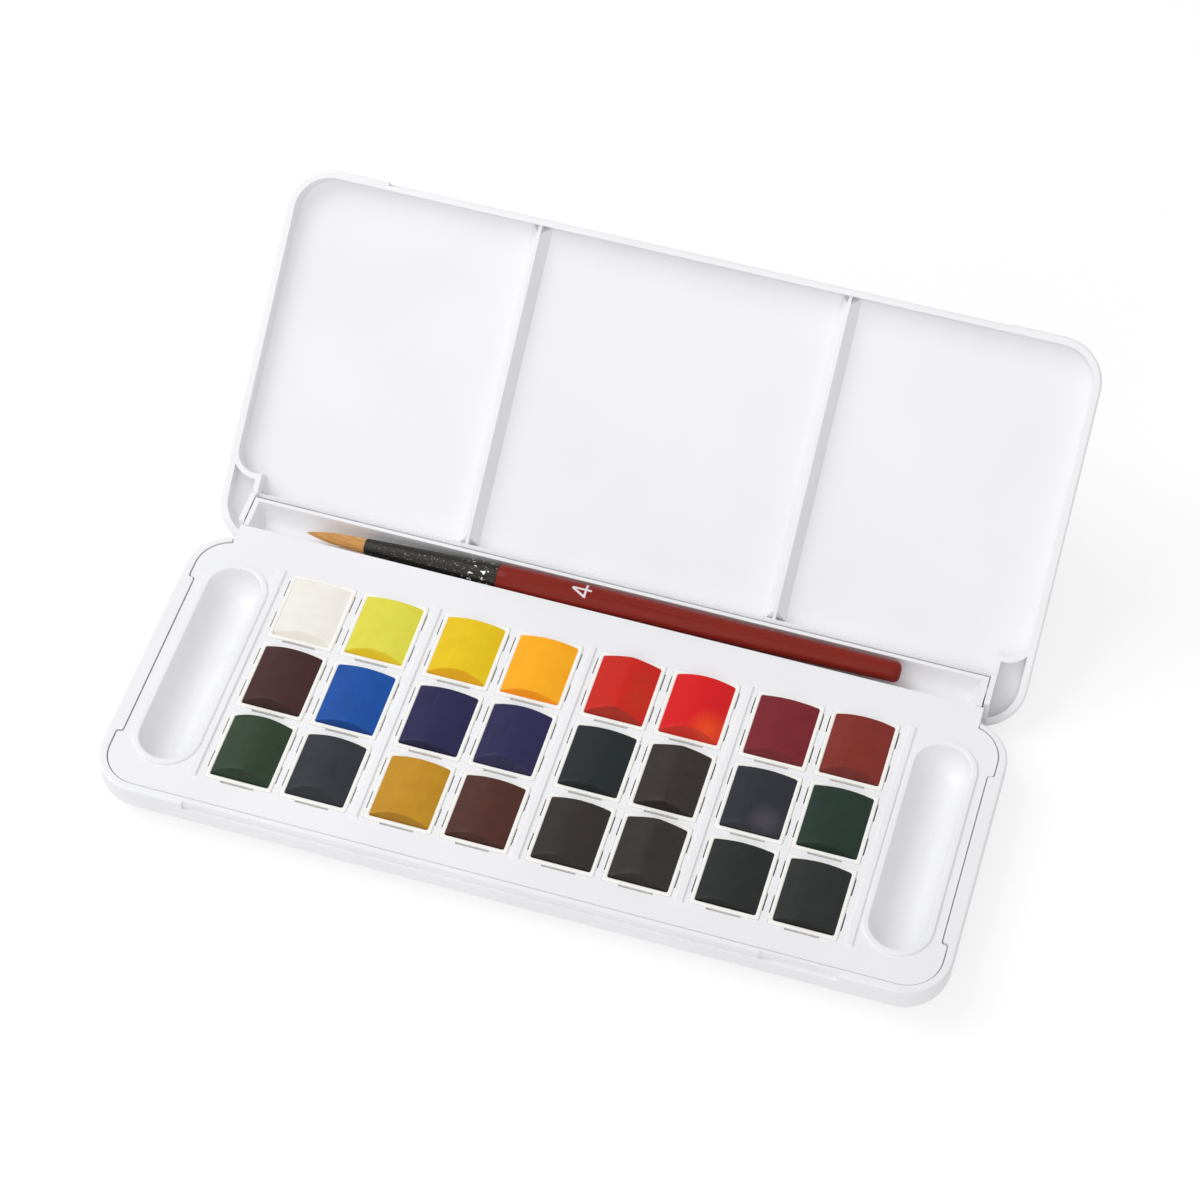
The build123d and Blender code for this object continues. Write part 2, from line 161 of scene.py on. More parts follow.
@dataclass(frozen=True)
class MouldedPolystyrene:
    """White polystyrene from a polished mould: smooth, clean, satin to glossy with the polish."""

    name: str
    colour: str = "#F6F6F8"
    shade: str = "#F2F2F4"
    roughness: float = 0.34

    def make(self) -> bpy.types.Material:
        """Makes the material.

        Returns:
            The material.
        """
        material, tree, output = new_material(self.name)
        place = {"Vector": add_node(tree, "TexCoord").outputs["Object"]}
        # Slow change of tone from the flow of the melt, about 40 mm across
        flow = add_node(tree, "TexNoise", {"Scale": 1 / (40 * MM), "Detail": 2.0}, place)
        tone = (0.35, 0.65, 0.0, 1.0)
        colour = lay_colour(tree, flow.outputs["Fac"], tone, self.colour, self.shade)
        # Uneven polish of the mould, about 6 mm across
        polish = add_node(tree, "TexNoise", {"Scale": 1 / (6 * MM), "Detail": 3.0}, place)
        rough = span(0.3, 0.7, self.roughness - 0.04, self.roughness + 0.05)
        gloss = add_node(tree, "MapRange", rough, {"Value": polish.outputs["Fac"]})
        shader = add_node(
            tree,
            "BsdfPrincipled",
            {"IOR": 1.55, "Specular IOR Level": 0.45},
            {"Base Color": colour, "Roughness": gloss.outputs["Result"]},
        )
        tree.links.new(shader.outputs["BSDF"], output.inputs["Surface"])
        return material


@dataclass(frozen=True)
class PanPolypropylene:
    """Ivory-white moulded polypropylene: soft gloss, faintly warm, with a little paint dust."""

    name: str
    colour: str = "#FCFBF6"
    dust: str = "#F0EDE6"
    roughness: float = 0.36

    def make(self) -> bpy.types.Material:
        """Makes the material.

        Returns:
            The material.
        """
        material, tree, output = new_material(self.name)
        place = {"Vector": add_node(tree, "TexCoord").outputs["Object"]}
        # Dust in patches about 3 mm across
        patch = add_node(tree, "TexNoise", {"Scale": 1 / (3 * MM), "Detail": 4.0}, place)
        dusty = (0.55, 0.8, 0.0, 0.5)
        colour = lay_colour(tree, patch.outputs["Fac"], dusty, self.colour, self.dust)
        rough = span(0.3, 0.7, self.roughness - 0.05, self.roughness + 0.08)
        gloss = add_node(tree, "MapRange", rough, {"Value": patch.outputs["Fac"]})
        # Matt skin of the moulding, grains drawn 0.5 mm across so that they show
        skin = add_node(tree, "TexNoise", {"Scale": 1 / (0.5 * MM), "Detail": 2.0}, place)
        relief = {"Strength": 1.0, "Distance": 0.004 * MM}
        bump = add_node(tree, "Bump", relief, {"Height": skin.outputs["Fac"]})
        shader = add_node(
            tree,
            "BsdfPrincipled",
            {"IOR": 1.49},
            {
                "Base Color": colour,
                "Roughness": gloss.outputs["Result"],
                "Normal": bump.outputs["Normal"],
            },
        )
        tree.links.new(shader.outputs["BSDF"], output.inputs["Surface"])
        return material


@dataclass(frozen=True)
class WatercolourPaint:
    """Dried watercolour, poured in the pan: honeyed gum with pigment, half glossy, with drag marks.

    The marks run from front to back. A patch of a second tone is painted light: a painted highlight
    on a glossy spot of some cakes, and painted shade on the side of a ridge that turns from the
    light.
    The front faces are darker, partly from the cut paint's own inside and partly from painted
    shade.
    Places and sizes are in millimetres from the middle of the cake's top.
    """

    name: str
    colour: str
    tone: str
    patch: str
    # A round patch of a second tone, painted light: a painted highlight on some cakes, painted
    # shade on others
    patch_place: tuple[float, float] = (4.0, -5.0)
    patch_size: float = 6.0
    patch_share: float = 0.0
    roughness: float = 0.42
    streak: float = 0.25
    sheen: float = 0.16
    # Colour laid on the forward faces: partly the cut paint's own inside, partly painted shade,
    # since those faces turn from the light; the near-black default is painted shade alone
    cut: str = "#0C0807"
    cut_share: float = 0.3

    def make(self, centre: Vector) -> bpy.types.Material:
        """Makes the material for the cake at one place.

        Args:
            centre: The middle of the cake's top, in metres.

        Returns:
            The material.
        """
        material, tree, output = new_material(self.name)
        points = add_node(tree, "TexCoord")
        place = {"Vector": points.outputs["Object"]}
        # Pigment that has settled in clouds about 4 mm across
        cloud = add_node(tree, "TexNoise", {"Scale": 1 / (4 * MM), "Detail": 3.0}, place)
        clouded = (0.35, 0.7, 0.0, 0.8)
        colour = lay_colour(tree, cloud.outputs["Fac"], clouded, self.colour, self.tone)
        # Drag marks 0.9 mm wide and 12 mm long
        stretch = {"Scale": (1 / (0.9 * MM), 1 / (12 * MM), 1 / (4 * MM))}
        drawn = {"Vector": add_node(tree, "Mapping", stretch, place).outputs["Vector"]}
        streaks = add_node(tree, "TexNoise", {"Scale": 1.0, "Detail": 3.0}, drawn)
        marked = (0.5, 0.72, 0.0, self.streak)
        colour = lay_colour(tree, streaks.outputs["Fac"], marked, colour, self.tone)
        # The round patch of painted light: a painted highlight on a glossy spot, painted shade on a
        # ridge's far side, as each cake sets it
        if self.patch_share > 0:
            local = add_node(tree, "Mapping", {"Location": -centre}, place).outputs["Vector"]
            spot = (self.patch_place[0] * MM, self.patch_place[1] * MM, 0.0)
            away = add_node(tree, "VectorMath", {"operation": "DISTANCE", 1: spot}, {0: local})
            fading = (0.0, self.patch_size * MM, self.patch_share, 0.0)
            colour = lay_colour(tree, away.outputs["Value"], fading, colour, self.patch)
        # The front, cut down with a knife, shows the paint's inside; its darker colour there is
        # partly that inside and partly painted shade on faces that turn from the light
        facing = add_node(tree, "SeparateXYZ", links={"Vector": points.outputs["Normal"]})
        steep = (-0.35, -0.7, 0.0, self.cut_share)
        colour = lay_colour(tree, facing.outputs["Y"], steep, colour, self.cut)
        rough = span(0.3, 0.7, self.roughness - 0.1, self.roughness + 0.12)
        gloss = add_node(tree, "MapRange", rough, {"Value": streaks.outputs["Fac"]})
        # Fine skin of the dried gum, drawn 0.35 mm across
        skin = add_node(tree, "TexNoise", {"Scale": 1 / (0.35 * MM), "Detail": 3.0}, place)
        relief = {"Strength": 1.0, "Distance": 0.01 * MM}
        fine = add_node(tree, "Bump", relief, {"Height": skin.outputs["Fac"]})
        bump = add_node(
            tree,
            "Bump",
            {"Strength": 1.0, "Distance": 0.05 * MM},
            {"Height": streaks.outputs["Fac"], "Normal": fine.outputs["Normal"]},
        )
        shader = add_node(
            tree,
            "BsdfPrincipled",
            {"IOR": 1.48, "Specular IOR Level": self.sheen},
            {
                "Base Color": colour,
                "Roughness": gloss.outputs["Result"],
                "Normal": bump.outputs["Normal"],
            },
        )
        tree.links.new(shader.outputs["BSDF"], output.inputs["Surface"])
        return material


@dataclass(frozen=True)
class SableHair:
    """Golden sable hair: fine strands with a soft sheen, darker at the point; the darker tone
    between the strands is partly painted shade.
    """

    name: str
    light: str = "#EFB866"
    dark: str = "#C08336"
    tip: str = "#A8652A"

    def make(self, tip_x: float) -> bpy.types.Material:
        """Makes the material.

        Args:
            tip_x: Where the point of the hair is along X, in metres.

        Returns:
            The material.
        """
        material, tree, output = new_material(self.name)
        place = {"Vector": add_node(tree, "TexCoord").outputs["Object"]}
        # Strands drawn 0.12 mm across and 9 mm long; their darker tone is partly the strands' own
        # and partly painted shade between them
        stretch = {"Scale": (1 / (9 * MM), 1 / (0.12 * MM), 1 / (0.12 * MM))}
        drawn = {"Vector": add_node(tree, "Mapping", stretch, place).outputs["Vector"]}
        strands = add_node(tree, "TexNoise", {"Scale": 1.0, "Detail": 2.0}, drawn)
        lit = (0.35, 0.65, 0.0, 1.0)
        colour = lay_colour(tree, strands.outputs["Fac"], lit, self.dark, self.light)
        along = add_node(tree, "SeparateXYZ", links=place).outputs["X"]
        near_tip = (tip_x, tip_x + 4 * MM, 0.5, 0.0)
        colour = lay_colour(tree, along, near_tip, colour, self.tip)
        relief = {"Strength": 1.0, "Distance": 0.05 * MM}
        bump = add_node(tree, "Bump", relief, {"Height": strands.outputs["Fac"]})
        shader = add_node(
            tree,
            "BsdfPrincipled",
            {"Roughness": 0.42, "IOR": 1.55, "Sheen Weight": 0.15, "Sheen Roughness": 0.4},
            {"Base Color": colour, "Normal": bump.outputs["Normal"]},
        )
        tree.links.new(shader.outputs["BSDF"], output.inputs["Surface"])
        return material


@dataclass(frozen=True)
class BlackNickel:
    """Drawn brass with a black nickel coat: dark, satin, with fine bright pits painted as sparkle.

    Its crimped stretch, given in millimetres along X, has painted glints in spots.
    """

    name: str
    colour: str = "#2E2C28"
    rubbed: str = "#A09C94"
    blank: str = "#FAF8F4"
    crimped: tuple[float, float] = (-36.0, -29.5)
    fade: float = 0.5
    roughness: float = 0.38

    def make(self) -> bpy.types.Material:
        """Makes the material.

        Returns:
            The material.
        """
        material, tree, output = new_material(self.name)
        place = {"Vector": add_node(tree, "TexCoord").outputs["Object"]}
        # Pits drawn 0.35 mm apart, their bright colour a painted sparkle
        pits = add_node(tree, "TexNoise", {"Scale": 1 / (0.35 * MM), "Detail": 4.0}, place)
        pitted = (0.62, 0.74, 0.0, 1.0)
        colour = lay_colour(tree, pits.outputs["Fac"], pitted, self.colour, self.rubbed)
        # Painted glints, spots about 0.9 mm apart, laid bright on the crimps only
        spots = add_node(tree, "TexNoise", {"Scale": 1 / (0.9 * MM), "Detail": 1.0}, place)
        worn = add_node(tree, "MapRange", span(0.63, 0.68, 0, 1), {"Value": spots.outputs["Fac"]})
        along = add_node(tree, "SeparateXYZ", links=place).outputs["X"]
        for edge, ends in zip(self.crimped, ((0, 1), (1, 0))):
            fading = span((edge - self.fade) * MM, (edge + self.fade) * MM, *ends)
            inside = add_node(tree, "MapRange", fading, {"Value": along})
            both = {0: worn.outputs[0], 1: inside.outputs["Result"]}
            worn = add_node(tree, "Math", {"operation": "MULTIPLY"}, both)
        colour = lay_colour(tree, worn.outputs[0], (0.0, 1.0, 0.0, 1.0), colour, self.blank)
        rough = span(0.35, 0.7, self.roughness + 0.1, self.roughness - 0.12)
        gloss = add_node(tree, "MapRange", rough, {"Value": pits.outputs["Fac"]})
        relief = {"Strength": 1.0, "Distance": 0.03 * MM}
        bump = add_node(tree, "Bump", relief, {"Height": pits.outputs["Fac"]})
        shader = add_node(
            tree,
            "BsdfPrincipled",
            {"Metallic": 0.85},
            {
                "Base Color": colour,
                "Roughness": gloss.outputs["Result"],
                "Normal": bump.outputs["Normal"],
            },
        )
        tree.links.new(shader.outputs["BSDF"], output.inputs["Surface"])
        return material


@dataclass(frozen=True)
class HandleLacquer:
    """Turned wood, dipped in red-brown lacquer: clear gloss over a tone that follows the grain."""

    name: str
    colour: str = "#88241A"
    cloud: str = "#7A1F17"

    def make(self) -> bpy.types.Material:
        """Makes the material.

        Returns:
            The material.
        """
        material, tree, output = new_material(self.name)
        place = {"Vector": add_node(tree, "TexCoord").outputs["Object"]}
        # Grain drawn 0.6 mm wide and 25 mm long under the lacquer
        stretch = {"Scale": (1 / (25 * MM), 1 / (0.6 * MM), 1 / (0.6 * MM))}
        drawn = {"Vector": add_node(tree, "Mapping", stretch, place).outputs["Vector"]}
        grain = add_node(tree, "TexNoise", {"Scale": 1.0, "Detail": 3.0}, drawn)
        grained = (0.35, 0.7, 0.0, 1.0)
        colour = lay_colour(tree, grain.outputs["Fac"], grained, self.colour, self.cloud)
        # Slight waves of the dipped coat, about 3 mm apart
        wave = add_node(tree, "TexNoise", {"Scale": 1 / (3 * MM), "Detail": 1.0}, place)
        relief = {"Strength": 1.0, "Distance": 0.01 * MM}
        bump = add_node(tree, "Bump", relief, {"Height": wave.outputs["Fac"]})
        shader = add_node(
            tree,
            "BsdfPrincipled",
            {
                "Roughness": 0.5,
                "IOR": 1.5,
                "Specular IOR Level": 0.06,
                "Coat Weight": 0.16,
                "Coat Roughness": 0.12,
                "Coat IOR": 1.5,
            },
            {"Base Color": colour, "Normal": bump.outputs["Normal"]},
        )
        tree.links.new(shader.outputs["BSDF"], output.inputs["Surface"])
        return material


@dataclass(frozen=True)
class StampingFoil:
    """Hot-stamped white foil of the size number: thin, slightly broken at its edges."""

    name: str
    colour: str = "#E6DCE2"
    worn: str = "#C9A8A6"

    def make(self) -> bpy.types.Material:
        """Makes the material.

        Returns:
            The material.
        """
        material, tree, output = new_material(self.name)
        place = {"Vector": add_node(tree, "TexCoord").outputs["Object"]}
        # Breaks in the foil, about 0.3 mm across
        breaks = add_node(tree, "TexNoise", {"Scale": 1 / (0.3 * MM), "Detail": 3.0}, place)
        broken = (0.55, 0.75, 0.0, 0.7)
        colour = lay_colour(tree, breaks.outputs["Fac"], broken, self.colour, self.worn)
        shader = add_node(tree, "BsdfPrincipled", {"Roughness": 0.45}, {"Base Color": colour})
        tree.links.new(shader.outputs["BSDF"], output.inputs["Surface"])
        return material


def finish_mesh(
    bm: bmesh.types.BMesh, name: str, material: bpy.types.Material, crease: float = 35.0
) -> bpy.types.Object:
    """Turns a bmesh into an object at the origin, with smooth faces and sharp creases.

    Args:
        bm: The mesh, in metres in the model's frame; it is freed.
        name: The object's name.
        material: Its material.
        crease: Edges that turn by more than this angle stay sharp, in degrees.

    Returns:
        The object.
    """
    for face in bm.faces:
        face.smooth = True
    for edge in bm.edges:
        edge.smooth = not edge.is_manifold or edge.calc_face_angle(0.0) < math.radians(crease)
    mesh = bpy.data.meshes.new(name)
    bm.to_mesh(mesh)
    bm.free()
    mesh.materials.append(material)
    made = bpy.data.objects.new(name, mesh)
    bpy.context.scene.collection.objects.link(made)
    return made


def join_mesh(whole: bmesh.types.BMesh, part: bmesh.types.BMesh) -> None:
    """Adds one bmesh to another.

    Args:
        whole: The mesh that grows.
        part: The mesh that is added; it is freed.
    """
    carrier = bpy.data.meshes.new("carrier")
    part.to_mesh(carrier)
    part.free()
    whole.from_mesh(carrier)
    bpy.data.meshes.remove(carrier)


def seat_piece(
    piece: bpy.types.Object, body: str, nodes: tuple[str, ...] = ()
) -> None:
    """Makes a piece ride on its body and stand for its solids.

    Args:
        piece: The new piece.
        body: The body that it moves with.
        nodes: The solids that it replaces.
    """
    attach(piece, body)
    if nodes:
        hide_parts(*nodes)
    log.info("%s rides on %s, %d faces", piece.name, body, len(piece.data.polygons))


@dataclass
class Case:
    """The white case: base, paint tray and mixing lid keep their solids and get their plastic."""

    nodes: tuple[str, ...] = ("base_shell", "paint_tray", "mixing_lid")

    def dress(self) -> None:
        """Puts the polystyrene on each of the three mouldings."""
        plastic = MouldedPolystyrene("moulded_polystyrene").make()
        for name in self.nodes:
            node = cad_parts[name]
            for place in node.material_slots:
                place.material = plastic
            log.info("%s gets its plastic", name)


class Crown(Enum):
    """How the top of a cake stands up across the pan."""

    ROUND = "round"
    PEAKED = "peaked"


@dataclass(frozen=True)
class Cake:
    """One cake of paint: its finish and the shape in which it dried, in millimetres."""

    paint: WatercolourPaint
    crown: Crown = Crown.ROUND
    front_run: float = 1.9
    front_foot: float = -0.7
    roughening: float = 0.05


def paint(
    name: str, colour: str, tone: str, patch: str = "#FFFFFF", **details: object
) -> WatercolourPaint:
    """Returns a paint finish with its slot's name and colours."""
    return WatercolourPaint("paint_" + name, colour, tone, patch, **details)


# Its orange patch on the right of the peaked ridge is painted shade, on the side that faces away
# from the light
VERMILION = paint(
    "vermilion",
    "#D0231A",
    "#C22C1C",
    "#CC3A1E",
    patch_share=0.6,
    patch_place=(5, -2),
    roughness=0.36,
    cut="#8E2A14",
    cut_share=0.7,
)
# Its bright orange patch, low on the right, is a painted highlight of a glossy spot
RED = paint(
    "red",
    "#DC1A20",
    "#D81E1E",
    "#F4561E",
    patch_share=0.9,
    patch_place=(4.6, -5.5),
    roughness=0.34,
    cut="#B0301A",
    cut_share=0.6,
)
# Its pale patch is a painted highlight of its glossy top
SLATE = paint(
    "slate",
    "#2E3037",
    "#2B2D33",
    "#57505C",
    patch_share=0.7,
    patch_place=(3, -5),
    patch_size=5.0,
    roughness=0.3,
)
WHITE = paint("white", "#F6F2EB", "#F2EDE5", roughness=0.5, cut="#D9D3C4", cut_share=0.6)
LEMON = paint("lemon", "#E6DF50", "#DFD746", cut="#DDBA12", cut_share=0.9)
YELLOW = paint("yellow", "#EECB1F", "#E6C116", cut="#D99A10", cut_share=0.8)
ORANGE_YELLOW = paint("orange_yellow", "#FFB322", "#FCAA1C", cut="#F08A10", cut_share=0.7)
UMBER = paint("umber", "#38302D", "#312B2A", roughness=0.36, streak=0.5)
OLIVE_GREEN = paint("olive_green", "#334533", "#2C3B2B", roughness=0.34, streak=0.7)
SEPIA = paint("sepia", "#36312D", "#302B29", roughness=0.36)

# Rows from the back of the case, each from its left end
CAKES = [
    [
        Cake(WHITE, front_run=2.2),
        Cake(LEMON, front_run=2.0, roughening=0.12),
        Cake(YELLOW, front_run=2.2),
        Cake(ORANGE_YELLOW, front_run=1.4),
        Cake(VERMILION, Crown.PEAKED, front_run=2.4),
        Cake(RED, front_run=2.0),
        Cake(paint("maroon", "#7E262C", "#73232A", roughness=0.38), front_run=2.2),
        Cake(paint("brick", "#85302A", "#7C2D22", roughness=0.4), front_run=2.2),
    ],
    [
        Cake(paint("dark_maroon", "#472929", "#402526", roughness=0.36), front_run=2.0),
        Cake(paint("blue", "#1C54A6", "#1A4B98", roughness=0.44), front_run=1.2, roughening=0.1),
        Cake(paint("indigo", "#2B274F", "#26244A", roughness=0.36), front_run=1.3),
        Cake(paint("violet_blue", "#2E2A54", "#29264B", roughness=0.3), front_run=2.4),
        Cake(paint("blue_black", "#23282A", "#1F2628", roughness=0.4), front_run=1.3),
        Cake(UMBER, Crown.PEAKED, front_run=1.2),
        Cake(SLATE, front_run=1.6),
        Cake(paint("deep_green", "#22362C", "#203028", roughness=0.38), front_run=1.3),
    ],
    [
        Cake(OLIVE_GREEN, front_run=1.8),
        Cake(paint("slate_grey", "#33363C", "#2E3136", roughness=0.38), front_run=2.6),
        Cake(paint("ochre", "#C79327", "#BD8722"), front_run=1.4),
        Cake(paint("brown", "#532F26", "#4B2A22", roughness=0.4), front_run=1.4),
        Cake(paint("brown_black", "#342E2B", "#2F2A28", roughness=0.34), front_run=1.5),
        Cake(SEPIA, Crown.PEAKED, front_run=1.6, roughening=0.12),
        Cake(paint("black", "#282A29", "#242625", roughness=0.42), front_run=1.0),
        Cake(paint("soft_black", "#2B2D2C", "#272928", roughness=0.46), front_run=1.0),
    ],
]


@dataclass
class HalfPans:
    """The 24 half pans and their cakes of paint, three rows of eight, in millimetres."""

    wall: float = 1.0
    floor: float = 1.2
    corner_radius: float = 0.5
    corner_steps: int = 5
    rim_radius: float = 0.3
    rim_steps: int = 4
    rim_fall: float = 0.01
    draft: float = 1.5
    columns: int = 28
    lines: int = 34
    front_lines: int = 6
    crest_soft: float = 0.12
    crest_drop: float = 0.05
    back_radius: float = 0.3
    fill_drop: float = 0.2
    spread: float = 0.12
    cake_corner: float = 0.42
    lump_sizes: tuple[float, float] = (2.6, 0.9)
    lump_height: float = 0.035
    broken_reach: float = 0.8
    peak_share: float = 0.55
    peak_softness: float = 0.004

    def build(self) -> None:
        """Builds every pan and cake."""
        plastic = PanPolypropylene("pan_polypropylene").make()
        for row, cakes in enumerate(CAKES, 1):
            for column, cake in enumerate(cakes, 1):
                place = f"r{row}_c{column}"
                self.build_pan(place, plastic)
                self.build_cake(place, cake)

    def build_pan(self, place: str, plastic: bpy.types.Material) -> None:
        """Builds one pan: a drafted box with a straight mouth and a rim that is rounded over.

        Args:
            place: The row and column in the pan's name.
            plastic: The pan's material.
        """
        low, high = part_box("pan_" + place)
        size, middle = (high - low) / MM, (high + low) / 2
        lean = math.tan(math.radians(self.draft)) * size.z
        # Rings from the foot up the outside, over the rim and down to the floor: inset and height
        rings = [(lean, 0.0)]
        turns = [math.radians(90 * k / self.rim_steps) for k in range(self.rim_steps + 1)]
        over = [
            (self.rim_radius * (1 - math.cos(turn)), self.rim_radius * (1 - math.sin(turn)))
            for turn in turns
        ]
        rings += [(inset, size.z - drop) for inset, drop in over]
        # The rim falls a little inwards, since rings in one plane may be bridged the wrong way
        inner_top = size.z - self.rim_fall
        rings += [(self.wall - inset, inner_top - drop) for inset, drop in reversed(over)]
        rings += [(self.wall, self.floor)]
        bm = bmesh.new()
        loops = [self.ring(bm, size, inset, height) for inset, height in rings]
        for lower, upper in zip(loops, loops[1:]):
            bmesh.ops.bridge_loops(bm, edges=lower + upper)
        for loop in (loops[0], loops[-1]):
            bmesh.ops.contextual_create(bm, geom=loop)
        bmesh.ops.scale(bm, vec=(MM, MM, MM), verts=bm.verts)
        bmesh.ops.translate(bm, vec=(middle.x, middle.y, low.z), verts=bm.verts)
        bmesh.ops.recalc_face_normals(bm, faces=bm.faces)
        pan = finish_mesh(bm, "half_pan_" + place, plastic)
        seat_piece(pan, "half_pan_" + place, ("pan_" + place,))

    def ring(
        self, bm: bmesh.types.BMesh, size: Vector, inset: float, height: float
    ) -> list[bmesh.types.BMEdge]:
        """Draws one level ring of a pan, a rectangle with round corners.

        Args:
            bm: The mesh that takes it, in millimetres.
            size: The pan's size.
            inset: How far the ring lies inside the pan's outline.
            height: Its height over the pan's foot.

        Returns:
            Its edges, in order.
        """
        radius = self.corner_radius
        corner_x, corner_y = size.x / 2 - inset - radius, size.y / 2 - inset - radius
        verts = []
        for number in range(4 * (self.corner_steps + 1)):
            quarter, step = divmod(number, self.corner_steps + 1)
            angle = math.radians(90 * (quarter + step / self.corner_steps))
            side_x = 1 if quarter in (0, 3) else -1
            side_y = 1 if quarter in (0, 1) else -1
            x = side_x * corner_x + radius * math.cos(angle)
            y = side_y * corner_y + radius * math.sin(angle)
            verts.append(bm.verts.new((x, y, height)))
        return [bm.edges.new(pair) for pair in zip(verts, verts[1:] + verts[:1])]

    def build_cake(self, place: str, cake: Cake) -> None:
        """Builds one cake: a fine sheet raised to its crown, with its front cut down.

        Args:
            place: The row and column in the cake's name.
            cake: Its finish and shape.
        """
        low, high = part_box("paint_" + place)
        size, middle = high - low, (high + low) / 2
        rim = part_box("pan_" + place)[1].z
        edge = rim - self.fill_drop * MM
        crown = (high.z - edge) / MM
        half_x, half_y = size.x / 2 / MM + self.spread, size.y / 2 / MM + self.spread
        coarse, fine = self.lump_sizes
        bm = bmesh.new()
        bmesh.ops.create_grid(bm, x_segments=self.columns, y_segments=self.lines, size=0.5)
        for vert in bm.verts:
            # Columns gather towards the sides; the first lines climb the cut front up to its crest
            across = math.sin(vert.co.x * math.pi)
            line = round((vert.co.y + 0.5) * self.lines)
            crest = self.crest_run(across, crown, cake)
            along = self.line_place(line, crest, 2 * half_y)
            height = self.top_height(across, along, crown, crest, 2 * half_y, cake)
            x, y = self.rounded_plan(across * half_x, along - half_y, half_x, half_y)
            where = Vector((x, y, 0.0))
            spot = where + middle / MM
            lumps = noise.noise(spot / coarse) + 0.5 * noise.noise(spot / fine)
            near_crest = math.exp(-(((along - crest) / self.broken_reach) ** 2))
            where.z = height + lumps * (self.lump_height + cake.roughening * near_crest)
            vert.co = Vector((middle.x, middle.y, edge)) + where * MM
        border = [e for e in bm.edges if e.is_boundary]
        skirt = bmesh.ops.extrude_edge_only(bm, edges=border)
        lower = [v for v in skirt["geom"] if isinstance(v, bmesh.types.BMVert)]
        for vert in lower:
            vert.co.z = low.z
        foot = [e for e in bm.edges if e.is_boundary]
        bmesh.ops.contextual_create(bm, geom=foot)
        bmesh.ops.recalc_face_normals(bm, faces=bm.faces)
        top = Vector((middle.x, middle.y, high.z))
        made = finish_mesh(bm, "cake_" + place, cake.paint.make(top), crease=60.0)
        seat_piece(made, "half_pan_" + place, ("paint_" + place,))

    def arch(self, across: float, cake: Cake) -> float:
        """Gives the share of the crown that a cake's top reaches.

        Args:
            across: Place across the cake, from -1 to 1.
            cake: Its shape.

        Returns:
            The share, from 0 at the sides to about 1 in the middle.
        """
        share = 1 - across * across
        if cake.crown is Crown.PEAKED:
            ridge = 1 - math.sqrt(across * across + self.peak_softness)
            share = (1 - self.peak_share) * share + self.peak_share * ridge
        return share

    def crest_run(self, across: float, crown: float, cake: Cake) -> float:
        """How far behind the front wall the cut front meets the arched top, in millimetres."""
        rise = crown * self.arch(across, cake) - cake.front_foot
        return cake.front_run * rise / (crown - cake.front_foot)

    def line_place(self, line: int, crest: float, length: float) -> float:
        """Distance of one line of the sheet from the front wall, in millimetres.

        Args:
            line: The number of the line, from 0 at the front.
            crest: Where the cut front meets the top.
            length: The cake's length.

        Returns:
            The distance.
        """
        soft = min(self.crest_soft, crest / 3)
        if line <= self.front_lines:
            return (crest - soft) * line / self.front_lines
        if line == self.front_lines + 1:
            return crest
        share = (line - self.front_lines - 2) / (self.lines - self.front_lines - 2)
        # Lines gather again at the back edge
        share = math.sin(share * math.pi / 2)
        return crest + soft + (length - crest - soft) * share

    def top_height(
        self, across: float, along: float, crown: float, crest: float, length: float, cake: Cake
    ) -> float:
        """Height of a cake's top over the line where it leaves its pan, in millimetres.

        Args:
            across: Place across the cake, from -1 to 1.
            along: Distance from the front wall.
            crown: The rise of its crown.
            crest: Where the cut front meets the top.
            length: The cake's length.
            cake: Its shape.

        Returns:
            The height.
        """
        height = crown * self.arch(across, cake)
        if along < crest:
            height = cake.front_foot + (height - cake.front_foot) * along / crest
        # The crest is broken by a narrow soft edge
        height -= self.crest_drop * math.exp(-(((along - crest) / self.crest_soft) ** 2))
        back = max(0.0, length - along)
        if back < self.back_radius:
            level = math.sqrt(self.back_radius**2 - (self.back_radius - back) ** 2)
            height -= self.back_radius - level
        return height

    def rounded_plan(self, x: float, y: float, half_x: float, half_y: float) -> tuple[float, float]:
        """Draws the corners of a cake's plan in to the corner radius of the pan's mouth.

        Args:
            x: Place across, in millimetres from the middle.
            y: Place along, in millimetres from the middle.
            half_x: Half the cake's width.
            half_y: Half its length.

        Returns:
            The moved place.
        """
        over_x = abs(x) - half_x + self.cake_corner
        over_y = abs(y) - half_y + self.cake_corner
        if over_x > 0 and over_y > 0:
            # A square corner becomes a round one, ring by ring
            shrink = max(over_x, over_y) / math.hypot(over_x, over_y)
            x = math.copysign(half_x - self.cake_corner + over_x * shrink, x)
            y = math.copysign(half_y - self.cake_corner + over_y * shrink, y)
        return x, y


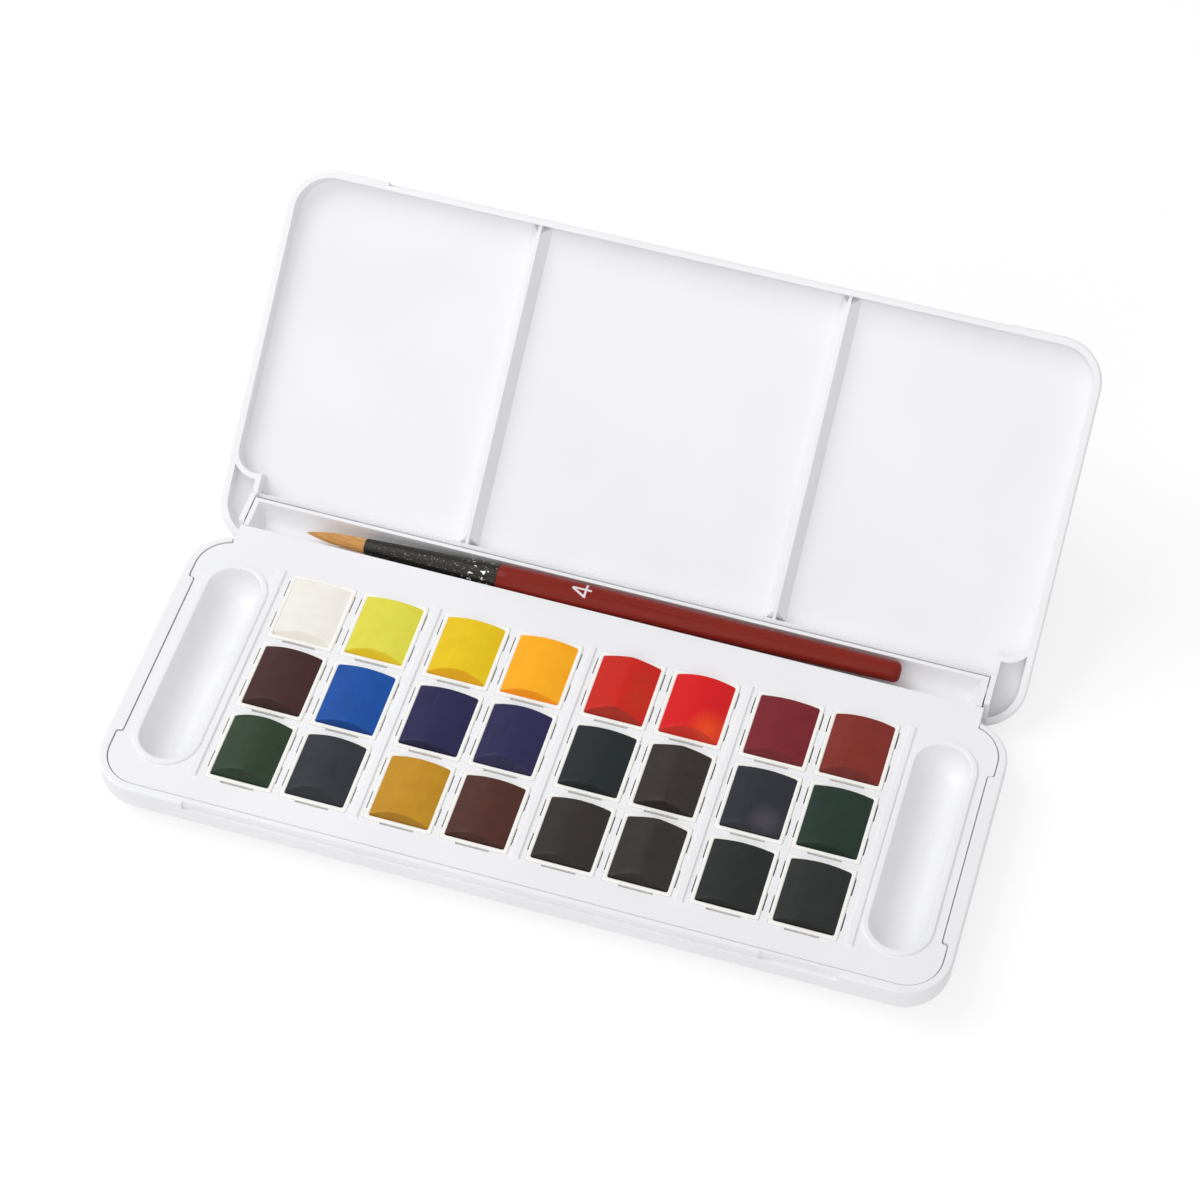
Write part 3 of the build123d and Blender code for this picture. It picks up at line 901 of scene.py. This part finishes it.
@dataclass
class Brush:
    """The brush in its trough: hair, crimped ferrule, lacquered handle and size number.

    Places run along the brush from the point of its hair, in millimetres.
    """

    tip: tuple[float, float, float] = (-76.3, 45.664, 9.725)
    heading: tuple[float, float, float] = (1.0, 0.0039, 0.0095)
    steps: int = 64
    hair_profile: tuple[tuple[float, float], ...] = (
        (0.0, 0.0),
        (0.35, 0.12),
        (1.4, 0.42),
        (3.3, 0.85),
        (5.5, 1.2),
        (9.1, 1.55),
        (12.5, 1.7),
        (15.1, 1.75),
    )
    hair_stations: int = 30
    hair_plug: float = 4.0
    flutes: float = 9.0
    flute_stretch: float = 0.15
    flute_depth: float = 0.055
    strands: int = 90
    strand_turn: float = 2.39996
    strand_radii: tuple[float, float] = (0.02, 0.055)
    strand_bed: float = 0.985
    strand_cuts: int = 9
    ferrule_start: float = 15.1
    ferrule_end: float = 48.5
    ferrule_wall: float = 0.3
    ferrule_lip: float = 1.95
    ferrule_mouth: float = 3.3
    ferrule_rings: int = 150
    crimps: tuple[float, float] = (41.6, 45.4)
    crimp_width: float = 0.55
    crimp_groove: float = 0.05
    crimp_depth: float = 0.16
    dimples: int = 11
    lip_roll: tuple[float, float] = (0.25, 0.09)
    tenon_start: float = 42.5
    tenon_radius: float = 2.95
    belly: tuple[float, float] = (60.5, 3.5)
    taper_end: tuple[float, float] = (145.4, 2.5)
    handle_end: float = 146.9
    handle_rings: int = 40
    shoulder: tuple[float, float] = (0.12, 0.08)
    end_rounding: float = 1.5
    end_rings: int = 8
    stroke_width: float = 0.52
    stroke_height: float = 0.03
    # Ends of each stroke: place along the brush, and place round it towards the front
    strokes: tuple = (
        ((67.0, 0.0), (71.7, 0.0)),
        ((66.95, 0.1), (70.35, 1.9)),
        ((70.3, 2.1), (70.3, -1.85)),
    )

    def __post_init__(self) -> None:
        """Works out the brush's own axes."""
        along = Vector(self.heading).normalized()
        up = (Vector((0, 0, 1)) - along * along.z).normalized()
        side = up.cross(along)
        turn = Matrix((along, side, up)).transposed().to_4x4()
        self.axes = Matrix.Translation(Vector(self.tip) * MM) @ turn @ Matrix.Scale(MM, 4)

    def build(self) -> None:
        """Builds the four pieces of the brush."""
        self.build_hair()
        self.build_ferrule()
        self.build_handle()
        self.build_number()

    def turned(self, profile: list[tuple[float, float]]) -> bmesh.types.BMesh:
        """Spins a profile round the brush's axis.

        Args:
            profile: Pairs of place along the brush and radius, in millimetres.

        Returns:
            The closed shape, in the brush's own millimetres.
        """
        bm = bmesh.new()
        verts = [bm.verts.new((s, 0, radius)) for s, radius in profile]
        edges = [bm.edges.new(pair) for pair in zip(verts, verts[1:])]
        bmesh.ops.spin(
            bm,
            geom=verts + edges,
            cent=(0, 0, 0),
            axis=(1, 0, 0),
            dvec=(0, 0, 0),
            angle=2 * math.pi,
            steps=self.steps,
            use_merge=True,
            use_duplicate=False,
        )
        bmesh.ops.remove_doubles(bm, verts=bm.verts, dist=1e-4)
        bmesh.ops.recalc_face_normals(bm, faces=bm.faces)
        return bm

    def hair_radius(self, s: float) -> float:
        """Radius of the hair at a distance from its point.

        Args:
            s: The distance, in millimetres.

        Returns:
            The radius, in millimetres.
        """
        for (s0, r0), (s1, r1) in zip(self.hair_profile, self.hair_profile[1:]):
            if s <= s1:
                return r0 + (r1 - r0) * (s - s0) / (s1 - s0)
        return self.hair_profile[-1][1]

    def build_hair(self) -> None:
        """Builds the hair: a fluted body with strands laid over it."""
        # Stations gather towards the point
        shares = [(k / self.hair_stations) ** 1.3 for k in range(self.hair_stations + 1)]
        stations = [self.ferrule_start * share for share in shares]
        profile = [(s, self.hair_radius(s)) for s in stations]
        end = self.ferrule_start + self.hair_plug
        profile += [(end, self.hair_profile[-1][1]), (end, 0.0)]
        bm = self.turned(profile)
        for vert in bm.verts:
            radius = math.hypot(vert.co.y, vert.co.z)
            if radius > 0.01 and vert.co.x < self.ferrule_start - 0.2:
                turn = math.atan2(vert.co.y, vert.co.z)
                spot = Vector((math.cos(turn), math.sin(turn), 0.0)) * self.flutes
                spot.z = vert.co.x * self.flute_stretch
                scale = 1 - self.flute_depth * (0.5 + noise.noise(spot))
                vert.co.y *= scale
                vert.co.z *= scale
        for number in range(self.strands):
            self.add_strand(bm, number)
        bmesh.ops.transform(bm, matrix=self.axes, verts=bm.verts)
        material = SableHair("sable_hair").make(self.tip[0] * MM)
        hair = finish_mesh(bm, "sable_tuft", material, crease=80.0)
        seat_piece(hair, "brush", ("brush_hair",))

    def add_strand(self, bm: bmesh.types.BMesh, number: int) -> None:
        """Lays one strand along the hair's surface.

        Args:
            bm: The hair, in the brush's own millimetres.
            number: Which strand, which also settles its place and length.
        """
        turn = number * self.strand_turn
        # Strands start at 0.25 to 5.75 mm from the point, most of them close to it
        chance = 0.5 + 0.5 * noise.noise(Vector((number * 0.73, 1.7, 0.3)))
        first = 0.25 + 5.5 * chance**2
        last = self.ferrule_start + 0.6
        middle = (first + last) / 2
        thin, thick = self.strand_radii
        strand = bmesh.new()
        bmesh.ops.create_cone(
            strand, cap_ends=True, segments=5, radius1=thin, radius2=thick, depth=last - first
        )
        rising = [e for e in strand.edges if abs(e.verts[0].co.z - e.verts[1].co.z) > 1]
        bmesh.ops.subdivide_edges(strand, edges=rising, cuts=self.strand_cuts)
        for vert in strand.verts:
            s = vert.co.z + middle
            swing = turn + 0.1 * noise.noise(Vector((number * 1.3, s * 0.22, 0.0)))
            out = self.hair_radius(s) * self.strand_bed + vert.co.x
            sideways = vert.co.y
            vert.co = Vector(
                (
                    s,
                    out * math.sin(swing) + sideways * math.cos(swing),
                    out * math.cos(swing) - sideways * math.sin(swing),
                )
            )
        join_mesh(bm, strand)

    def build_ferrule(self) -> None:
        """Builds the ferrule: a thin cone with two crimped rings of dimples."""
        run, widening = self.ferrule_end - self.ferrule_start, self.ferrule_mouth - self.ferrule_lip
        shares = [k / self.ferrule_rings for k in range(self.ferrule_rings + 1)]
        outer = [
            (self.ferrule_start + run * share, self.ferrule_lip + widening * share)
            for share in shares
        ]
        inner_start = outer[0][1] - self.ferrule_wall / 2
        inner = [
            (self.ferrule_end, self.ferrule_mouth - self.ferrule_wall),
            (self.tenon_start - 0.05, self.ferrule_mouth - self.ferrule_wall),
            (self.ferrule_start + self.hair_plug, inner_start),
            (self.ferrule_start, inner_start),
        ]
        bm = self.turned(outer + inner + [outer[0]])
        for vert in bm.verts:
            radius = math.hypot(vert.co.y, vert.co.z)
            share = (vert.co.x - self.ferrule_start) / run
            if radius < self.ferrule_lip + widening * share - self.ferrule_wall / 6:
                # On the inside
                continue
            turn = math.atan2(vert.co.y, vert.co.z)
            sink = 0.0
            for ring, place in enumerate(self.crimps):
                reach = (vert.co.x - place) / self.crimp_width
                sink += self.crimp_groove * math.exp(-(reach * reach) / 2)
                lobe = math.cos((turn + ring * 0.3) * self.dimples)
                sink += self.crimp_depth * max(0.0, lobe) ** 3 * math.exp(-reach * reach)
            # A rolled lip at the mouth, where the hair comes out
            roll_length, roll_depth = self.lip_roll
            sink += roll_depth * max(0.0, 1 - (vert.co.x - self.ferrule_start) / roll_length)
            vert.co.y *= (radius - sink) / radius
            vert.co.z *= (radius - sink) / radius
        bmesh.ops.transform(bm, matrix=self.axes, verts=bm.verts)
        ferrule = finish_mesh(bm, "crimped_ferrule", BlackNickel("black_nickel").make())
        seat_piece(ferrule, "brush", ("brush_ferrule",))

    def handle_radius(self, s: float) -> float:
        """Radius of the handle at a distance from the hair's point.

        Args:
            s: The distance, in millimetres.

        Returns:
            The radius, in millimetres.
        """
        belly_s, belly_r = self.belly
        taper_s, taper_r = self.taper_end
        if s < belly_s:
            share = (s - self.ferrule_end) / (belly_s - self.ferrule_end)
            swell = (belly_r - self.ferrule_mouth) * (2 * share - share * share)
            return self.ferrule_mouth + swell
        return belly_r + (taper_r - belly_r) * (s - belly_s) / (taper_s - belly_s)

    def build_handle(self) -> None:
        """Builds the handle: tenon, belly, taper and rounded end."""
        step_length, step_depth = self.shoulder
        taper_s, taper_r = self.taper_end
        profile = [
            (self.tenon_start, 0.0),
            (self.tenon_start, self.tenon_radius),
            (self.ferrule_end, self.tenon_radius),
            (self.ferrule_end, self.ferrule_mouth - step_depth),
        ]
        start = self.ferrule_end + step_length
        for k in range(self.handle_rings + 1):
            s = start + (taper_s - start) * k / self.handle_rings
            profile.append((s, self.handle_radius(s)))
        # The end's rounding, then its flat middle
        flat = taper_r - self.end_rounding
        for k in range(1, self.end_rings + 1):
            angle = math.radians(90 - 90 * k / self.end_rings)
            reach, rise = self.end_rounding * math.cos(angle), self.end_rounding * math.sin(angle)
            profile.append((taper_s + reach, flat + rise))
        profile.append((self.handle_end, 0.0))
        bm = self.turned(profile)
        bmesh.ops.transform(bm, matrix=self.axes, verts=bm.verts)
        handle = finish_mesh(bm, "lacquered_handle", HandleLacquer("handle_lacquer").make())
        seat_piece(handle, "brush", ("brush_handle",))

    def build_number(self) -> None:
        """Builds the size number: three strokes of foil, laid round the handle."""
        bm = bmesh.new()
        for layer, (start, end) in enumerate(self.strokes):
            length = math.dist(start, end)
            stroke = bmesh.new()
            bmesh.ops.create_cube(stroke, size=1.0)
            # Each layer is a little thicker, so that no two tops share a surface where they cross
            thickness = self.stroke_height + layer * 0.002
            bmesh.ops.scale(stroke, vec=(length, self.stroke_width, thickness), verts=stroke.verts)
            spans = [abs(e.verts[0].co.x - e.verts[1].co.x) for e in stroke.edges]
            lengthways = [e for e, run in zip(stroke.edges, spans) if run > length / 2]
            bmesh.ops.subdivide_edges(stroke, edges=lengthways, cuts=12)
            slant = Matrix.Rotation(math.atan2(end[1] - start[1], end[0] - start[0]), 3, "Z")
            bmesh.ops.rotate(stroke, verts=stroke.verts, cent=(0, 0, 0), matrix=slant)
            middle = ((start[0] + end[0]) / 2, (start[1] + end[1]) / 2, 0)
            bmesh.ops.translate(stroke, verts=stroke.verts, vec=middle)
            for vert in stroke.verts:
                radius = self.handle_radius(vert.co.x) + vert.co.z
                turn = vert.co.y / self.handle_radius(vert.co.x)
                vert.co = Vector((vert.co.x, -radius * math.sin(turn), radius * math.cos(turn)))
            join_mesh(bm, stroke)
        bmesh.ops.transform(bm, matrix=self.axes, verts=bm.verts)
        bmesh.ops.recalc_face_normals(bm, faces=bm.faces)
        number = finish_mesh(bm, "size_number", StampingFoil("stamping_foil").make())
        seat_piece(number, "brush")


@dataclass(frozen=True)
class Softbox:
    """A square lamp: its place and side in metres, its power in watts and its colour in hex."""

    name: str
    place: tuple[float, float, float]
    side: float
    power: float
    colour: str


@dataclass
class Studio:
    """Camera, pale floor, soft lamps and a white surround.

    The camera's place and the floor's drop are in millimetres, the floor's size and the place that
    the lamps face in metres, and the angles in degrees.
    """

    camera_place: tuple[float, float, float] = (124.1, -410.3, 641.6)
    azimuth: float = 15.52
    elevation: float = 53.09
    roll: float = 1.33
    focal_pixels: float = 3326.7
    image_width: int = 1200
    sensor_width: float = 36.0
    floor_size: float = 3.0
    floor_drop: float = 0.02
    floor_bounce: float = 0.86
    floor_tone: float = 0.4
    floor_lift: float = 0.66
    ambient: float = 0.52
    lit_place: tuple[float, float, float] = (0.0, 0.02, 0.0)
    lamps: tuple[Softbox, ...] = (
        Softbox("key_softbox", (-0.7, 0.1, 0.95), 0.8, 5.8, "#FAFBFF"),
        Softbox("front_softbox", (0.15, -0.95, 1.05), 1.2, 3.5, "#FFFDFA"),
        Softbox("low_softbox", (-0.2, -1.3, 0.35), 0.9, 2.0, "#FFFFFF"),
    )

    def build(self) -> None:
        """Builds all of it."""
        self.build_camera()
        self.build_floor()
        self.build_world()
        for softbox in self.lamps:
            self.add_lamp(softbox)
        bpy.context.scene.view_settings.view_transform = "Standard"

    def build_camera(self) -> None:
        """Sets the camera as the photograph was taken."""
        angles = (self.azimuth, self.elevation, self.roll)
        azimuth, elevation, roll = (math.radians(angle) for angle in angles)
        ahead = Vector(
            (
                -math.sin(azimuth) * math.cos(elevation),
                math.cos(azimuth) * math.cos(elevation),
                -math.sin(elevation),
            )
        )
        level = ahead.cross(Vector((0, 0, 1))).normalized()
        upright = level.cross(ahead)
        right = level * math.cos(roll) + upright * math.sin(roll)
        up = upright * math.cos(roll) - level * math.sin(roll)
        lens = bpy.data.cameras.new("camera")
        lens.sensor_width = self.sensor_width
        lens.lens = self.focal_pixels * self.sensor_width / self.image_width
        camera = bpy.data.objects.new("camera", lens)
        turn = Matrix((right, up, -ahead)).transposed().to_4x4()
        camera.matrix_world = Matrix.Translation(Vector(self.camera_place) * MM) @ turn
        bpy.context.scene.collection.objects.link(camera)
        bpy.context.scene.camera = camera

    def seen_straight(self, tree: bpy.types.NodeTree) -> bpy.types.NodeSocket:
        """Tells the rays that show a surface from those that only light the set.

        Args:
            tree: The node tree.

        Returns:
            The socket of 1 for camera, glossy and transmission rays, else 0.
        """
        path = add_node(tree, "LightPath")
        seen = path.outputs["Is Camera Ray"]
        for ray in ("Is Glossy Ray", "Is Transmission Ray"):
            either = {0: seen, 1: path.outputs[ray]}
            seen = add_node(tree, "Math", {"operation": "MAXIMUM"}, either).outputs[0]
        return seen

    def build_floor(self) -> None:
        """Lays a matt white sheet that shows white and keeps a soft shadow."""
        bm = bmesh.new()
        bmesh.ops.create_grid(bm, x_segments=1, y_segments=1, size=self.floor_size)
        bmesh.ops.translate(bm, vec=(0, 0, -self.floor_drop * MM), verts=bm.verts)
        material, tree, output = new_material("matt_paper_floor")
        seen = {"Value": self.seen_straight(tree)}
        shown = span(0, 1, self.floor_bounce, self.floor_tone)
        tone = add_node(tree, "MapRange", shown, seen).outputs["Result"]
        grey = add_node(tree, "CombineColor", links={"Red": tone, "Green": tone, "Blue": tone})
        matt = add_node(tree, "BsdfDiffuse", links={"Color": grey.outputs["Color"]})
        lift = add_node(tree, "MapRange", span(0, 1, 0.0, self.floor_lift), seen)
        glow = add_node(tree, "Emission", links={"Strength": lift.outputs["Result"]})
        parts = {0: matt.outputs["BSDF"], 1: glow.outputs["Emission"]}
        both = add_node(tree, "AddShader", links=parts)
        tree.links.new(both.outputs["Shader"], output.inputs["Surface"])
        floor = finish_mesh(bm, "floor_sheet", material)

    def build_world(self) -> None:
        """Surrounds the set with even pale light, white where it is seen."""
        world = bpy.data.worlds.new("white_surround")
        world.use_nodes = True
        tree = world.node_tree
        tree.nodes.clear()
        seen = {"Value": self.seen_straight(tree)}
        strength = add_node(tree, "MapRange", span(0, 1, self.ambient, 1.0), seen)
        pale = {"Color": linear("#FFFFFF")}
        sky = add_node(tree, "Background", pale, {"Strength": strength.outputs["Result"]})
        output = add_node(tree, "OutputWorld")
        tree.links.new(sky.outputs["Background"], output.inputs["Surface"])
        bpy.context.scene.world = world

    def add_lamp(self, softbox: Softbox) -> None:
        """Adds a softbox that faces the set.

        Args:
            softbox: The lamp's size, place and light.
        """
        lamp = bpy.data.lights.new(softbox.name, "AREA")
        lamp.shape = "SQUARE"
        lamp.size = softbox.side
        lamp.energy = softbox.power
        lamp.color = linear(softbox.colour)[:3]
        holder = bpy.data.objects.new(softbox.name, lamp)
        holder.location = softbox.place
        towards = Vector(self.lit_place) - Vector(softbox.place)
        holder.rotation_euler = towards.to_track_quat("-Z", "Y").to_euler()
        bpy.context.scene.collection.objects.link(holder)


def main() -> None:
    """Builds the studio, the case, the pans with their paints and the brush."""
    logging.basicConfig(level=logging.INFO, format="%(name)s: %(message)s")
    Studio().build()
    Case().dress()
    HalfPans().build()
    Brush().build()


if __name__ == "__main__":
    main()
